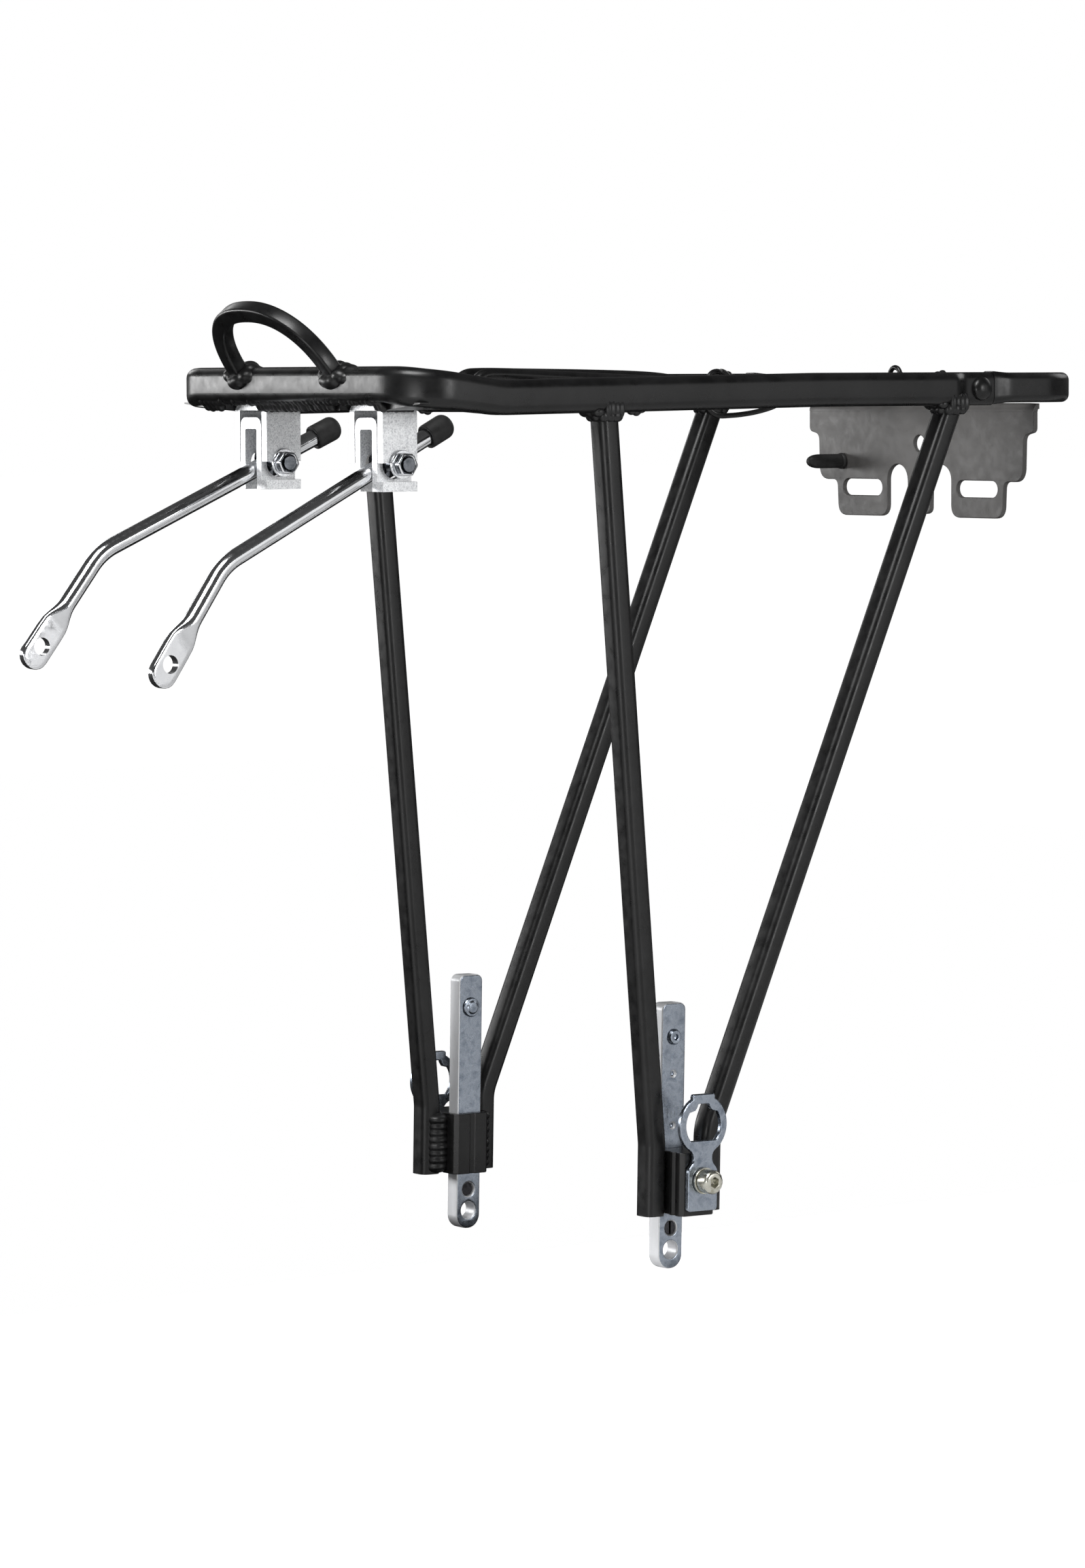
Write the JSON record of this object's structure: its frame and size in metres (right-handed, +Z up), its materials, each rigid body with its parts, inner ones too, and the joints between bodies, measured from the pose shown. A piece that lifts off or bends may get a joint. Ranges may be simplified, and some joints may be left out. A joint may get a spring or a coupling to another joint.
{
  "type": "bicycle luggage carrier",
  "caption": "Tubular rear carrier for a bicycle with sliding foot bars, adjustable front stays, a spring flap and a light plate.",
  "frame": {"origin": "midway between the holes that fix the two foot bars to the bicycle", "axes": "+X to the back of the bicycle along the platform, +Y to the bicycle's right, +Z up"},
  "size_m": [0.3963, 0.1738, 0.3392],
  "materials": {
    "black_coat": "satin powder coat",
    "grey_coat": "matt powder coat",
    "bright_zinc": "mottled bright zinc plating",
    "yellow_zinc": "yellow zinc plating",
    "blasted_aluminium": "sand blasted",
    "polished_aluminium": "polished",
    "black_rubber": "matt"
  },
  "bodies": {
    "frame": {"platform_loop": "black_coat", "rear_loop": "black_coat", "front_hoop": "black_coat", "stay_plate": "black_coat", "front_tie": "black_coat", "rear_tie": "black_coat", "flap_hinge_rod": "black_coat", "flap_spring": "black_coat", "strap_staple": "black_coat", "light_plate": "grey_coat", "pump_peg": "black_rubber", "rail_rivet_left": "black_coat", "rail_rivet_right": "black_coat", "front_leg_left": "black_coat", "front_leg_right": "black_coat", "rear_leg_left": "black_coat", "rear_leg_right": "black_coat", "stay_channel_left": "blasted_aluminium", "stay_channel_right": "blasted_aluminium", "stay_inner_channel_left": "blasted_aluminium", "stay_inner_channel_right": "blasted_aluminium", "foot_block_left": "black_coat", "foot_block_right": "black_coat", "strap_ring_left": "bright_zinc", "strap_ring_right": "bright_zinc", "ring_washer_left": "yellow_zinc", "ring_washer_right": "yellow_zinc", "ring_screw_left": "yellow_zinc", "ring_screw_right": "yellow_zinc"},
    "flap": {"spring_flap": "black_coat"},
    "foot_bar_left": {"foot_bar_left": "bright_zinc", "bar_stop_left": "bright_zinc", "bar_screw_left": "black_rubber"},
    "stay_clamp_left": {"eye_bolt_left": "bright_zinc", "stay_washer_left": "bright_zinc", "stay_nut_left": "bright_zinc"},
    "stay_rod_left": {"stay_rod_left": "polished_aluminium", "rod_cap_left": "black_rubber"},
    "foot_bar_right": {"foot_bar_right": "bright_zinc", "bar_stop_right": "bright_zinc", "bar_screw_right": "black_rubber"},
    "stay_clamp_right": {"eye_bolt_right": "bright_zinc", "stay_washer_right": "bright_zinc", "stay_nut_right": "bright_zinc"},
    "stay_rod_right": {"stay_rod_right": "polished_aluminium", "rod_cap_right": "black_rubber"}
  },
  "joints": [
    {"name": "flap_turn", "type": "hinge", "parent": "frame", "child": "flap", "pos_m": [0.06261, 0, 0.30289], "axis": [0, 1, 0], "range_deg": [0, 70], "stiffness_Nm_per_rad": 0.15, "springref_deg": -20.05},
    {"name": "foot_bar_left_slide", "type": "slide", "parent": "frame", "child": "foot_bar_left", "axis": [-0.0244, 0, -0.9997], "range_m": [-0.003, 0.035]},
    {"name": "stay_clamp_left_tilt", "type": "hinge", "parent": "frame", "child": "stay_clamp_left", "pos_m": [-0.10159, -0.0347, 0.27659], "axis": [-0.0349, 0.9994, 0], "range_deg": [-15, 15]},
    {"name": "stay_rod_left_slide", "type": "slide", "parent": "stay_clamp_left", "child": "stay_rod_left", "axis": [0.8998, 0.0314, 0.4352], "range_m": [-0.006, 0.025]},
    {"name": "foot_bar_right_slide", "type": "slide", "parent": "frame", "child": "foot_bar_right", "axis": [-0.0244, 0, -0.9997], "range_m": [-0.003, 0.035]},
    {"name": "stay_clamp_right_tilt", "type": "hinge", "parent": "frame", "child": "stay_clamp_right", "pos_m": [-0.10159, 0.0347, 0.27659], "axis": [0.0349, 0.9994, 0], "range_deg": [-15, 15]},
    {"name": "stay_rod_right_slide", "type": "slide", "parent": "stay_clamp_right", "child": "stay_rod_right", "axis": [0.9151, -0.032, 0.4019], "range_m": [-0.006, 0.025]}
  ]
}
